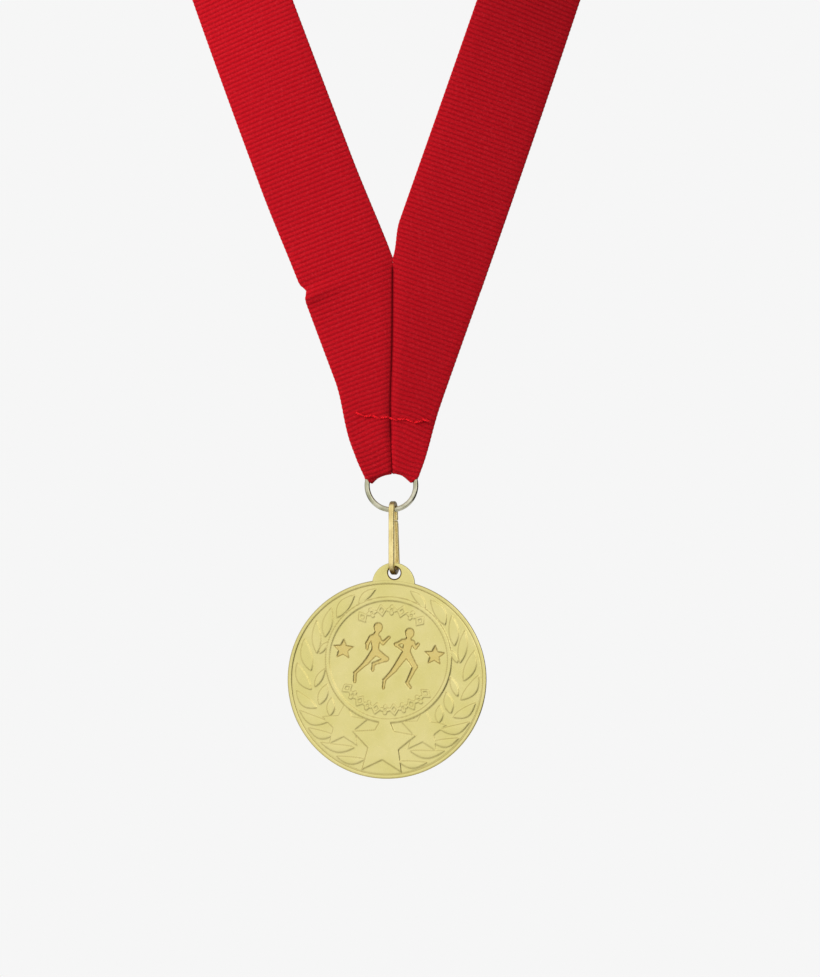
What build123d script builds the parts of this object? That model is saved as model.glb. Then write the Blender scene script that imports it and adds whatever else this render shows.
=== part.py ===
from build123d import *
import math
import os

# A stamped award medal hanging from a neck ribbon. Millimetres and degrees.
# While it is built, the jump ring's centre is (0, 0, 0), +Z is up and the medal faces -Y.
# Each part is then moved so that the origin is where the ribbon bears on the back of the neck.

# Medal disc, one stamping
DISC_RADIUS = 22.5
DISC_CENTRE = (-0.98, -43.9)        # X and Z of the disc's centre
DISC_TILT = 3.88                    # the disc leans this far to the right
RIM_THICKNESS = 2.4
RIM_WIDTH = 0.95
FIELD_DEPTH = 0.3                   # front field below the rim
BACK_DEPTH = 0.3                    # back field below the rim
EAR_RADIUS = 4.85
EAR_HEIGHT = 21.6                   # ear's centre above the disc's centre
EAR_THICKNESS = 2.0
HOLE_RADIUS = 1.4
HOLE_HEIGHT = 24.15                 # hole's centre above the disc's centre
HOLE_CHAMFER = 0.25

# Relief on the front of the disc
BOSS_HEIGHT = 4.45                  # boss centre above the disc's centre
BOSS_RADIUS = 14.25
BOSS_RIM_WIDTH = 0.9
BOSS_RISE = 0.25                    # boss rim above the field
BOSS_FLOOR_RISE = 0.1
STAR_WAIST = 0.48                   # a star's inner radius over its outer radius
BIG_STARS = [(0.15, -14.55, 7.6), (-8.95, -11.0, 5.4), (8.95, -11.0, 5.4)]
BIG_STAR_RISE = 0.2
SMALL_STAR_OFFSET = (10.35, 1.7)    # from the boss centre
SMALL_STAR_RADIUS = 2.3
SMALL_STAR_DEPTH = 0.12

# Jump ring of round wire
RING_RADIUS = 5.5                   # to the wire's centre
RING_WIRE = 1.2
RING_GAP = 0.15                     # between the wire's two ends, under the link

# Hanger link of square wire, a teardrop in a plane that is turned out of the medal's normal
LINK_WIDTH = 1.2
LINK_WIRE = 1.1
LINK_TOP_INSIDE = 1.0               # inner radius of the bend on the ring
LINK_FOOT_INSIDE = 1.825            # inner radius of the bend in the ear
LINK_TURN = 14.6
LINK_TILT = 1.0
LINK_OFFSET = 0.4                   # where it sits along the ring's wire
LINK_RING_PLAY = 0.22               # clearance on the ring's wire
LINK_EAR_PLAY = 0.12                # clearance in the ear's hole
LINK_SEAM = 4.4                     # where its two ends meet, below its top
LINK_SEAM_GAP = 0.12
EDGE_ROUND = 0.22

# Ribbon, laid on a cone whose front generator is vertical
RIBBON_WIDTH = 22.0
RIBBON_THICKNESS = 0.5
HALF_LENGTH = 400.0                 # centre line, from the ring to the back of the neck
STRAP_ANGLE = 20.1                  # each strap from the loop's own centre line
LOOP_LEAN = 0.7                     # the loop's centre line from the vertical, to the left
VEE_POINT = (0.3, 51.6)             # X and Z where the inner edges meet
FRONT_Y = -0.55                     # the front layer's place, ahead of the ring's plane
SEAM_GAP = 0.1                      # between the two mitred edges
PANEL_MIDDLE = 33.5                 # a level between the stitching and the vee point
STRAP_START = 28.0                  # first section above the vee point, along the ribbon
FRONT_END = 140.0                   # the lower strap's upper end, along the ribbon
SHOULDER_END = 260.0                # where the band behind the neck begins
STRAP_STEPS = 6
BAND_STEPS = 8

# Fold round the ring's upper half. Outline places are X and Z.
RING_FOLD_TOP = 8.6
FOLD_BOTTOM = 2.8                   # lower edge of the fold on the centre line
FOLD_LEFT = -6.9                    # side edges at the fold's top
FOLD_RIGHT = 8.45
FOLD_MIDDLE = 0.1                   # X of the top of the lower edge's arch
LEFT_TIP = (-4.75, 0.65)            # lowest points, where the arch begins and ends
RIGHT_TIP = (5.0, 0.7)
LEFT_CORNER = (-5.95, 1.1)          # outer lower corners
RIGHT_CORNER = (6.05, 1.35)
FOLD_DEPTH = 2.6                    # front to back of the fold round the ring
TUNNEL_RADIUS = 0.74

# Turned-up end of the ribbon behind the panel
TAIL_TOP = 18.0
TAIL_FOOT = (-6.9, 8.0)             # side edges at its foot and at its top
TAIL_HEAD = (-8.2, 9.2)
TAIL_Y = 0.6                        # its front face

# Stitching across the panel
STITCH_Z = 15.5
STITCH_ENDS = (-7.6, 9.2)
STITCH_COUNT = 8
STITCH_SHARE = 0.8                  # a stitch's length over the pitch
STITCH_DROP = 0.09                  # fall of the row along its length
STITCH_LIFT = 0.02                  # thread clear of the panel's face
THREAD = 0.35

CONE_SINE = (90 - STRAP_ANGLE) / 180
CONE_ANGLE = math.degrees(math.asin(CONE_SINE))
VEE_TO_NECK = HALF_LENGTH - (VEE_POINT[1] - FOLD_BOTTOM) * math.cos(math.radians(STRAP_ANGLE))
APEX_DISTANCE = VEE_TO_NECK / math.cos(math.radians(STRAP_ANGLE))


def on_cone(across, up):
    """Point of the ribbon's surface, from its place in the flat pattern about the vee point."""
    slant = math.hypot(across, APEX_DISTANCE - up)
    turn = math.atan2(across, APEX_DISTANCE - up) / CONE_SINE
    rise = math.cos(math.radians(CONE_ANGLE))
    x = slant * CONE_SINE * math.sin(turn)
    y = slant * CONE_SINE * rise * (1 - math.cos(turn))
    z = APEX_DISTANCE - slant * (rise**2 + CONE_SINE**2 * math.cos(turn))
    lean = math.radians(LOOP_LEAN)
    return Vector(
        VEE_POINT[0] + x * math.cos(lean) - z * math.sin(lean),
        FRONT_Y + y,
        VEE_POINT[1] + z * math.cos(lean) + x * math.sin(lean),
    )


def pattern(x, z):
    """Flat pattern place of a point near the front, given as X and Z."""
    lean = math.radians(LOOP_LEAN)
    dx, dz = x - VEE_POINT[0], z - VEE_POINT[1]
    return dx * math.cos(lean) + dz * math.sin(lean), dz * math.cos(lean) - dx * math.sin(lean)


def strap_edges(side, along):
    """Flat pattern places of a strap's inner and outer edge, this far above the vee point."""
    angle = math.radians(STRAP_ANGLE)
    inner = (side * along * math.sin(angle), along * math.cos(angle))
    outer = (
        inner[0] + side * RIBBON_WIDTH * math.cos(angle),
        inner[1] - RIBBON_WIDTH * math.sin(angle),
    )
    return inner, outer


def ribbon_section(inner, outer):
    """Thin rectangle across the ribbon between two places of the flat pattern."""
    a, b = on_cone(*inner), on_cone(*outer)
    middle = ((inner[0] + outer[0]) / 2, (inner[1] + outer[1]) / 2)
    along = (outer[1] - inner[1], inner[0] - outer[0])
    scale = 1 / math.hypot(*along)
    ahead = on_cone(middle[0] + along[0] * scale, middle[1] + along[1] * scale)
    direction = ahead - on_cone(*middle)
    plane = Plane(origin=(a + b) / 2, x_dir=b - a, z_dir=direction)
    return plane * Rectangle((b - a).length, RIBBON_THICKNESS)


def front_edges(side, z):
    """Flat pattern places of the mitred panel's centre seam and outer edge at a height."""
    angle = math.radians(STRAP_ANGLE - side * LOOP_LEAN)
    straight = RIBBON_WIDTH / math.cos(angle) - (VEE_POINT[1] - z) * math.tan(angle)
    seam = VEE_POINT[0] * z / VEE_POINT[1] + side * SEAM_GAP / 2
    return pattern(seam, z), pattern(VEE_POINT[0] + side * straight, z)


def ribbon_front(side):
    """One half of the mitred panel between the ring and the vee point."""
    heights = [RING_FOLD_TOP, STITCH_Z, PANEL_MIDDLE, VEE_POINT[1]]
    return loft([ribbon_section(*front_edges(side, z)) for z in heights], ruled=True)


def ribbon_strap(side):
    """The lower stretch of one strap, from the level of the vee point."""
    step = (FRONT_END - STRAP_START) / STRAP_STEPS
    stations = [STRAP_START + step * i for i in range(STRAP_STEPS + 1)]
    sections = [ribbon_section(*strap_edges(side, s)) for s in stations]
    return loft([ribbon_section(*front_edges(side, VEE_POINT[1]))] + sections)


def ribbon_band(side, start, end):
    """A curved stretch of one strap, from start to end along the ribbon."""
    step = (end - start) / BAND_STEPS
    stations = [start + step * i for i in range(BAND_STEPS + 1)]
    return loft([ribbon_section(*strap_edges(side, s)) for s in stations])


def ring_fold():
    """The ribbon's turned end round the ring's upper half, with a tunnel for the wire."""
    upper_right, upper_left = (FOLD_RIGHT, RING_FOLD_TOP), (FOLD_LEFT, RING_FOLD_TOP)
    with BuildSketch(Plane.XZ) as outline:
        with BuildLine():
            lower = ThreePointArc(LEFT_TIP, (FOLD_MIDDLE, FOLD_BOTTOM), RIGHT_TIP)
            Polyline(lower @ 1, RIGHT_CORNER, upper_right, upper_left, LEFT_CORNER, lower @ 0)
        make_face()
    block = extrude(outline.sketch, FOLD_DEPTH / 2, both=True)
    return block - Torus(RING_RADIUS, TUNNEL_RADIUS, rotation=(90, 0, 0))


def ribbon_tail():
    """The ribbon's end behind the panel, from the fold up to just above the stitching."""
    with BuildSketch(Plane.XZ) as outline:
        with BuildLine():
            foot = [(TAIL_FOOT[0], RING_FOLD_TOP), (TAIL_FOOT[1], RING_FOLD_TOP)]
            head = [(TAIL_HEAD[1], TAIL_TOP), (TAIL_HEAD[0], TAIL_TOP)]
            Polyline(*foot, *head, close=True)
        make_face()
    return Pos(0, TAIL_Y + RIBBON_THICKNESS / 2, 0) * extrude(outline.sketch, RIBBON_THICKNESS)


def stitching():
    """One row of short thread stitches across the panel's front."""
    first, last = STITCH_ENDS
    pitch = (last - first) / STITCH_COUNT
    front = FRONT_Y - RIBBON_THICKNESS / 2 - THREAD / 2 - STITCH_LIFT
    stitches = []
    for i in range(STITCH_COUNT):
        middle = Pos(first + pitch * (i + 0.5), front, STITCH_Z - STITCH_DROP * pitch * i)
        stitches.append(middle * Rot(0, 90, 0) * Cylinder(THREAD / 2, pitch * STITCH_SHARE))
    return Compound(children=stitches)


def jump_ring():
    """Round wire ring in the medal's plane, its ends meeting under the link."""
    gap_angle = math.degrees(RING_GAP / RING_RADIUS)
    section = Plane.XZ * Pos(RING_RADIUS, 0) * Circle(RING_WIRE / 2)
    wire = revolve(section, Axis.Z, revolution_arc=360 - gap_angle)
    start = -90 + math.degrees(LINK_OFFSET / RING_RADIUS) + gap_angle / 2
    return Plane.XZ * Rot(0, 0, start) * wire


def hanger_link():
    """Square wire bent into a long teardrop round the ring and through the ear's hole."""
    wire_z = -math.sqrt(RING_RADIUS**2 - LINK_OFFSET**2)
    top_r = LINK_TOP_INSIDE + LINK_WIRE / 2
    foot_r = LINK_FOOT_INSIDE + LINK_WIRE / 2
    top_z = wire_z + RING_WIRE / 2 + LINK_RING_PLAY - LINK_TOP_INSIDE
    hole_z = DISC_CENTRE[1] + HOLE_HEIGHT * math.cos(math.radians(DISC_TILT))
    turn = math.radians(LINK_TURN)
    reach = EAR_THICKNESS / 2 / math.cos(turn)
    corner = LINK_WIDTH / 2 * math.cos(turn) + reach * math.sin(turn)
    headroom = math.sqrt((HOLE_RADIUS - LINK_EAR_PLAY) ** 2 - corner**2)
    foot_z = hole_z + headroom + math.sqrt(LINK_FOOT_INSIDE**2 - reach**2)
    lean = math.asin((foot_r - top_r) / (top_z - foot_z))
    side, rise = math.cos(lean), math.sin(lean)
    seam_z = top_z + top_r + LINK_WIRE / 2 - LINK_SEAM
    slope = math.tan(lean)

    def back_leg(z):
        return (top_r * side + (top_z + top_r * rise - z) * slope, z)

    front_top = (-top_r * side, top_z + top_r * rise)
    front_foot = (-foot_r * side, foot_z + foot_r * rise)
    back_foot = (foot_r * side, foot_z + foot_r * rise)
    with BuildLine() as path:
        Line(back_leg(seam_z - LINK_SEAM_GAP), back_foot)
        ThreePointArc(back_foot, (0, foot_z - foot_r), front_foot)
        Line(front_foot, front_top)
        ThreePointArc(front_top, (0, top_z + top_r), back_leg(front_top[1]))
        Line(back_leg(front_top[1]), back_leg(seam_z))
    flat = trace(path.line, LINK_WIRE)
    wire = extrude(flat, LINK_WIDTH / 2, both=True)
    rounded = fillet(wire.edges().filter_by(GeomType.CIRCLE), EDGE_ROUND)
    upright = Plane(origin=(0, 0, 0), x_dir=(0, 1, 0), z_dir=(1, 0, 0)) * rounded
    at_ring = Pos(LINK_OFFSET, 0, wire_z)
    return at_ring * Rot(0, -LINK_TILT, 0) * Rot(0, 0, -LINK_TURN) * Pos(0, 0, -wire_z) * upright


def star(x, z, radius):
    """Five-pointed star, one point up."""
    points = []
    for i in range(10):
        reach = radius if i % 2 == 0 else radius * STAR_WAIST
        angle = math.radians(90 + 36 * i)
        points.append((x + reach * math.cos(angle), z + reach * math.sin(angle)))
    return make_face(Polyline(*points, close=True))


def medal_disc():
    """The stamping: rim, fields, ear with its hole, boss ring and stars."""
    half = RIM_THICKNESS / 2
    field_radius = DISC_RADIUS - RIM_WIDTH
    front = half - FIELD_DEPTH
    back = half - BACK_DEPTH
    body = extrude(Circle(DISC_RADIUS), half, both=True)
    ear = extrude(Pos(0, EAR_HEIGHT) * Circle(EAR_RADIUS), EAR_THICKNESS / 2, both=True)
    body = body + ear
    body -= Pos(0, 0, front) * extrude(Circle(field_radius), FIELD_DEPTH)
    body -= Pos(0, 0, -half) * extrude(Circle(field_radius), BACK_DEPTH)
    stars = [star(*values) for values in BIG_STARS]
    boss = Pos(0, BOSS_HEIGHT) * Circle(BOSS_RADIUS)
    floor = Pos(0, BOSS_HEIGHT) * Circle(BOSS_RADIUS - BOSS_RIM_WIDTH)
    for shape in stars:
        body += Pos(0, 0, front) * extrude(shape - boss, BIG_STAR_RISE)
    body += Pos(0, 0, front) * extrude(boss - floor, BOSS_RISE)
    body += Pos(0, 0, front) * extrude(floor, BOSS_FLOOR_RISE)
    for side in (-1, 1):
        x, z = side * SMALL_STAR_OFFSET[0], BOSS_HEIGHT + SMALL_STAR_OFFSET[1]
        sunk = star(x, z, SMALL_STAR_RADIUS)
        body -= Pos(0, 0, front + BOSS_FLOOR_RISE - SMALL_STAR_DEPTH) * extrude(sunk, 1)
    hole = Pos(0, HOLE_HEIGHT) * Cylinder(HOLE_RADIUS, 2 * EAR_THICKNESS)
    mouth = HOLE_RADIUS + HOLE_CHAMFER
    bevel_z = EAR_THICKNESS / 2 - HOLE_CHAMFER / 2
    bevel = Pos(0, HOLE_HEIGHT, bevel_z) * Cone(HOLE_RADIUS, mouth, HOLE_CHAMFER)
    back_bevel = Pos(0, HOLE_HEIGHT, -bevel_z) * Cone(mouth, HOLE_RADIUS, HOLE_CHAMFER)
    body = body - hole - bevel - back_bevel
    upright = Plane.XZ * body
    return Pos(DISC_CENTRE[0], 0, DISC_CENTRE[1]) * Rot(0, DISC_TILT, 0) * upright


def neck_point():
    """Middle of the ribbon's inner face at the back of the neck."""
    inner, outer = strap_edges(-1, VEE_TO_NECK)
    a, b = on_cone(*inner), on_cone(*outer)
    return (a + b) / 2


def save(shape, name):
    """Write one sub-part, moved so that the neck point is the origin."""
    moved = Location(-neck_point()) * shape
    moved.label = name
    export_step(moved, os.path.join("parts", name + ".step"))


def main():
    os.makedirs("parts", exist_ok=True)
    save(medal_disc(), "medal_disc")
    save(hanger_link(), "hanger_link")
    save(jump_ring(), "jump_ring")
    save(Compound(children=[ribbon_front(-1), ribbon_front(1)]), "ribbon_front")
    save(ring_fold(), "ribbon_ring_fold")
    save(ribbon_tail(), "ribbon_tail")
    save(stitching(), "ribbon_stitching")
    for side, name in ((-1, "left"), (1, "right")):
        save(ribbon_strap(side), "ribbon_%s_strap" % name)
        save(ribbon_band(side, FRONT_END, SHOULDER_END), "ribbon_%s_shoulder" % name)
    left, right = (ribbon_band(side, SHOULDER_END, VEE_TO_NECK) for side in (-1, 1))
    save(Compound(children=[left, right]), "ribbon_neck_band")


main()
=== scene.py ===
import math

import bmesh
import bpy
import numpy as np
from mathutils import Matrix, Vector


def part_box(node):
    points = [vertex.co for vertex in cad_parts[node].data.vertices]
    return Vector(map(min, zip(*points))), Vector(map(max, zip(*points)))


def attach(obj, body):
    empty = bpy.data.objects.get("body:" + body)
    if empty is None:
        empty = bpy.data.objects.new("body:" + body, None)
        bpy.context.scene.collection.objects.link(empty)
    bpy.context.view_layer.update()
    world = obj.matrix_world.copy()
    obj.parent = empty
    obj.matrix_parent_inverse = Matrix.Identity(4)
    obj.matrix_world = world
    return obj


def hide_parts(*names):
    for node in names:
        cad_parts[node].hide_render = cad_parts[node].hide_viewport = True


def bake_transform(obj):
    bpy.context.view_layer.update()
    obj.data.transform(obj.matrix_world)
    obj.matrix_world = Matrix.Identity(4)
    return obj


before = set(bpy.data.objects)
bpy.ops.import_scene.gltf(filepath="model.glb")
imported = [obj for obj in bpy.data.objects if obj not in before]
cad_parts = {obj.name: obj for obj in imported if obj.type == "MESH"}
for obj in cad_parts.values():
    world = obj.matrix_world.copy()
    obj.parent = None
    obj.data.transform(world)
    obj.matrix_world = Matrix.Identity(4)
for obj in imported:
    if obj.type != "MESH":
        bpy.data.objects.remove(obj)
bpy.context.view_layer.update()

# A stamped award medal on a grosgrain neck ribbon. Shapes are worked out in millimetres from the
# jump ring's centre, with +Z up and the medal's front facing -Y, and to_frame() places them.

MM = 0.001

ring_low, ring_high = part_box("jump_ring")
RING_CENTRE = np.array((ring_low + ring_high) / 2)

# Driving sizes, as in the CAD model, in millimetres and degrees
DISC_RADIUS = 22.5
DISC_CENTRE = (-0.98, -43.9)
DISC_TILT = 3.88
EAR_RADIUS = 4.85
EAR_HEIGHT = 21.6
EAR_HALF = 1.0
HOLE_RADIUS = 1.4
HOLE_HEIGHT = 24.15
HOLE_BEVEL = 0.25
BOSS_HEIGHT = 4.45
BOSS_RADIUS = 14.25
RING_RADIUS = 5.5                   # to the wire's centre
WIRE_RADIUS = 0.6
RING_GAP = 0.15
RING_SLIP = 0.09                    # how far the ring's ends stand out of line
LINK_WIDTH = 1.2
LINK_WIRE = 1.1
LINK_TOP_INSIDE = 1.0
LINK_FOOT_INSIDE = 1.825
LINK_TURN = 14.6
LINK_TILT = 1.0
LINK_OFFSET = 0.4
LINK_RING_PLAY = 0.22
LINK_EAR_PLAY = 0.12
LINK_SEAM = 4.4
LINK_SEAM_GAP = 0.12
LINK_CORNER = 0.24                  # rounding of the square wire
RIBBON_WIDTH = 22.0
STRAP_ANGLE = 20.1
LOOP_LEAN = 0.7
VEE = (0.3, 51.6)
FRONT_Y = -0.55
FOLD_BOTTOM = 2.8
STITCH_Z = 15.5
HALF_LENGTH = 400.0

CONE_SINE = (90 - STRAP_ANGLE) / 180
CONE_RISE = math.sqrt(1 - CONE_SINE**2)
SEAM_LENGTH = (VEE[1] - FOLD_BOTTOM) * math.cos(math.radians(STRAP_ANGLE))
VEE_TO_NECK = HALF_LENGTH - SEAM_LENGTH
APEX = VEE_TO_NECK / math.cos(math.radians(STRAP_ANGLE))
RIB_COUNT = round(2 * VEE_TO_NECK / 1.05)
RIB_PITCH = 2 * VEE_TO_NECK / RIB_COUNT
RIB_STEPS = 5


# ---- mesh helpers

def smooth_step(t):
    """0 below 0, 1 above 1, and a smooth rise between."""
    t = np.clip(t, 0.0, 1.0)
    return t * t * (3 - 2 * t)


def to_frame(points):
    """Millimetres from the ring's centre to metres in the shared frame."""
    return np.asarray(points, float) * MM + RING_CENTRE


def make_object(name, points, faces, material):
    """A mesh object from points in millimetres and faces."""
    mesh = bpy.data.meshes.new(name)
    mesh.from_pydata(to_frame(points).tolist(), [], [tuple(f) for f in faces])
    mesh.polygons.foreach_set("use_smooth", [True] * len(mesh.polygons))
    mesh.materials.append(material)
    obj = bpy.data.objects.new(name, mesh)
    bpy.context.scene.collection.objects.link(obj)
    return obj


def tidy_normals(obj):
    """Welds doubled points and turns every face outwards."""
    bm = bmesh.new()
    bm.from_mesh(obj.data)
    bmesh.ops.remove_doubles(bm, verts=bm.verts, dist=1e-7)
    bmesh.ops.recalc_face_normals(bm, faces=bm.faces)
    bm.to_mesh(obj.data)
    bm.free()
    return obj


def strip_faces(first, second):
    """Quads between two rows of point numbers of the same length."""
    return [
        (first[i], first[i + 1], second[i + 1], second[i]) for i in range(len(first) - 1)
    ]


class Shell:
    """Points, faces and per-point values of one piece, gathered from its parts."""

    def __init__(self):
        self.points, self.faces, self.values = [], [], {}
        self.count = 0

    def add(self, points, faces, **values):
        points = np.asarray(points, float).reshape(-1, 3)
        self.points.append(points)
        self.faces += [tuple(k + self.count for k in f) for f in faces]
        for key, value in values.items():
            full = np.broadcast_to(np.asarray(value, float).reshape(-1), (len(points),))
            self.values.setdefault(key, []).append((self.count, full))
        self.count += len(points)

    def build(self, name, material):
        obj = make_object(name, np.concatenate(self.points), self.faces, material)
        for key, chunks in self.values.items():
            data = np.zeros(self.count, np.float32)
            for start, value in chunks:
                data[start:start + len(value)] = value
            attribute = obj.data.attributes.new(key, "FLOAT", "POINT")
            attribute.data.foreach_set("value", data)
        return tidy_normals(obj)


def grid_normals(points):
    """Unit normals of a grid of points."""
    along = np.gradient(points, axis=0)
    across = np.gradient(points, axis=1)
    normal = np.cross(along, across)
    return normal / np.maximum(np.linalg.norm(normal, axis=2, keepdims=True), 1e-9)


def add_sweep(shell, path, sides, ups, section, **values):
    """A closed bar of one section along a path; each path point has its own two directions."""
    rows, count = len(path), len(section)
    ring = (
        path[:, None, :]
        + section[None, :, :1] * sides[:, None, :]
        + section[None, :, 1:] * ups[:, None, :]
    )
    number = np.arange(rows * count).reshape(rows, count)
    faces = []
    for j in range(count):
        k = (j + 1) % count
        faces += strip_faces(number[:, j], number[:, k])
    faces += [tuple(number[0]), tuple(number[-1])]
    shell.add(ring, faces, **values)


def round_section(radius, count):
    angle = np.arange(count) * 2 * math.pi / count
    return np.stack([np.cos(angle), np.sin(angle)], 1) * radius


def square_section(width, height, corner, steps):
    """A rectangle with rounded corners."""
    points = []
    for quarter, (sx, sy) in enumerate(((1, 1), (-1, 1), (-1, -1), (1, -1))):
        for i in range(steps):
            angle = math.radians(90 * quarter + 90 * i / (steps - 1))
            points.append((
                sx * (width / 2 - corner) + corner * math.cos(angle),
                sy * (height / 2 - corner) + corner * math.sin(angle),
            ))
    return np.array(points)


# ---- shader helpers

def new_material(name, **sockets):
    """A material with one Principled shader whose even values are set on its own sockets."""
    made = bpy.data.materials.new(name)
    made.use_nodes = True
    shader = made.node_tree.nodes["Principled BSDF"]
    for key, value in sockets.items():
        shader.inputs[key.replace("_", " ")].default_value = value
    return made, made.node_tree, shader


def add_node(tree, kind, settings=(), **inputs):
    """A node with its settings, and its inputs set or linked by name."""
    made = tree.nodes.new(kind)
    for key, value in dict(settings).items():
        setattr(made, key, value)
    for key, value in inputs.items():
        socket = made.inputs[int(key[1:]) if key[0] == "i" and key[1:].isdigit() else key]
        if isinstance(value, bpy.types.NodeSocket):
            tree.links.new(value, socket)
        else:
            socket.default_value = value
    return made


def math_node(tree, operation, *terms):
    made = add_node(
        tree, "ShaderNodeMath", {"operation": operation},
        **{"i%d" % i: term for i, term in enumerate(terms)}
    )
    return made.outputs[0]


def colour_mix(tree, share, first, second):
    made = tree.nodes.new("ShaderNodeMix")
    made.data_type = "RGBA"
    for socket, value in ((made.inputs[0], share), (made.inputs[6], first), (made.inputs[7], second)):
        if isinstance(value, bpy.types.NodeSocket):
            tree.links.new(value, socket)
        else:
            socket.default_value = value
    return made.outputs[2]


def noise_node(tree, place, scale, detail=3.0, roughness=0.5):
    made = add_node(tree, "ShaderNodeTexNoise", Vector=place, Scale=scale, Detail=detail)
    made.inputs["Roughness"].default_value = roughness
    return made.outputs["Fac"]


def value_range(tree, value, low, high, to_low, to_high):
    made = add_node(tree, "ShaderNodeMapRange", i0=value, i1=low, i2=high, i3=to_low, i4=to_high)
    return made.outputs[0]


def bump_chain(tree, shader, layers):
    """Bump layers, each (height, strength, distance in metres), fed into the shader's normal."""
    normal = None
    for height, strength, distance in layers:
        made = add_node(
            tree, "ShaderNodeBump", Height=height, Strength=strength, Distance=distance
        )
        if normal is not None:
            tree.links.new(normal, made.inputs["Normal"])
        normal = made.outputs["Normal"]
    tree.links.new(normal, shader.inputs["Normal"])


def object_place(tree):
    return tree.nodes.new("ShaderNodeTexCoord").outputs["Object"]


def attribute_value(tree, name):
    return add_node(tree, "ShaderNodeAttribute", {"attribute_name": name}).outputs["Fac"]


# ---- neck ribbon

COLUMNS = np.array([0, 0.012, 0.17, 0.34, 0.5, 0.66, 0.8, 0.9, 0.988, 1.0])
VALLEY_HALF = 0.13                  # half the ribbon's thickness between two ribs
RIB_RISE = 0.12
SELVEDGE_SHARE = 0.6                # of the thickness, along the woven edges
SCALLOP = 0.06
TURN_RADIUS = 0.92                  # the ribbon's turn under the ring's wire
EDGE_FOLD_Z = 0.65
FOLD_HALF_WIDTH = 5.95
FOLD_PINCH = 1.45                   # how far the ring's opening draws the edges in
SEAM_FOLD_RADIUS = 0.27
TIGHT_FOLD_RADIUS = 0.08
TIGHT_BELOW = 9.0
BACK_LAYER_Y = 0.45
MITRE_RIBS = 56
THREAD_RADIUS = 0.26
PLY_TURN = 1.1                      # length of one twist of the thread's two plies
FIBRE_PITCH = 0.18                  # of the fine twist within a ply
WARP_PITCH = 0.26                   # of the weave, across the ribbon
WEFT_PITCH = 0.21                   # and along it
STITCH_ENDS = (-8.1, 8.9)
STITCH_ROW_Z = 15.2                 # before the row's drift to either side
FRONT_STITCHES = 9
BACK_STITCHES = 8
PLAIN_ROWS = RIB_STEPS              # rows under the vee point before the seam folds begin


def on_cone(across, up):
    """Points of the worn ribbon's surface, from their places in its flat pattern."""
    slant = np.hypot(across, APEX - up)
    turn = np.arctan2(across, APEX - up) / CONE_SINE
    x = slant * CONE_SINE * np.sin(turn)
    y = slant * CONE_SINE * CONE_RISE * (1 - np.cos(turn))
    z = APEX - slant * (CONE_RISE**2 + CONE_SINE**2 * np.cos(turn))
    lean = math.radians(LOOP_LEAN)
    return np.stack([
        VEE[0] + x * math.cos(lean) - z * math.sin(lean),
        FRONT_Y + y,
        VEE[1] + z * math.cos(lean) + x * math.sin(lean),
    ], -1)


def panel_surface(x, z):
    """Points of the front panel at X and Z, before it is drawn in towards the ring."""
    lean = math.radians(LOOP_LEAN)
    dx, dz = x - VEE[0], z - VEE[1]
    return on_cone(dx * math.cos(lean) + dz * math.sin(lean), dz * math.cos(lean) - dx * math.sin(lean))


def pucker(along, share):
    """A small pinch in the left edge beside the vee: how far it draws in, and comes forward."""
    reach = smooth_step((share - 0.55) / 0.45)
    drawn_in = 0.9 * np.exp(-(along / 1.3) ** 2) * reach
    crest = 0.75 * np.exp(-((along + 1.7) / 1.3) ** 2)
    hollow = 0.3 * np.exp(-((along - 1.3) / 1.2) ** 2)
    return drawn_in, (crest - hollow) * reach


def band_rows():
    """Middle surface from the left side of the vee, round the neck, to its right side."""
    run = np.linspace(0, 2 * VEE_TO_NECK, RIB_COUNT * RIB_STEPS + 1)
    side = np.where(run <= VEE_TO_NECK, -1.0, 1.0)[:, None]
    along = np.minimum(run, 2 * VEE_TO_NECK - run)[:, None]
    angle = math.radians(STRAP_ANGLE)
    out = COLUMNS[None, :] * RIBBON_WIDTH + 0 * along
    scallop = SCALLOP * np.abs(np.sin(math.pi * np.arange(len(run)) / RIB_STEPS))
    out[:, 0] -= scallop * np.minimum(1, along[:, 0] / 3)
    out[:, -1] += scallop
    drawn_in, forward = pucker(along, COLUMNS[None, :])
    out -= np.where(side < 0, drawn_in, 0)
    points = on_cone(
        side * (along * math.sin(angle) + out * math.cos(angle)),
        along * math.cos(angle) - out * math.sin(angle),
    )
    points[..., 1] -= np.where(side < 0, forward, 0)
    near = 1 - smooth_step((along - 60) / 120)
    right = -(1.4 * smooth_step(along / 9) * (1 - COLUMNS) + 0.65 * COLUMNS) * near
    left = -0.6 * smooth_step(along / 25) * near
    points[..., 0] += np.where(side > 0, right, left)
    wave = 0.35 * np.sin(run / 11.0)[:, None] * np.sin(2.2 * COLUMNS + run[:, None] / 37.0)
    points[..., 1] += wave * smooth_step(along / 20) * near
    return points


def seam_drift(z):
    """How far the panel's centre seam wanders off its straight line."""
    return -0.35 * np.exp(-((z - 18) / 9) ** 2) + 0.15 * smooth_step((8 - z) / 5)


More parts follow.
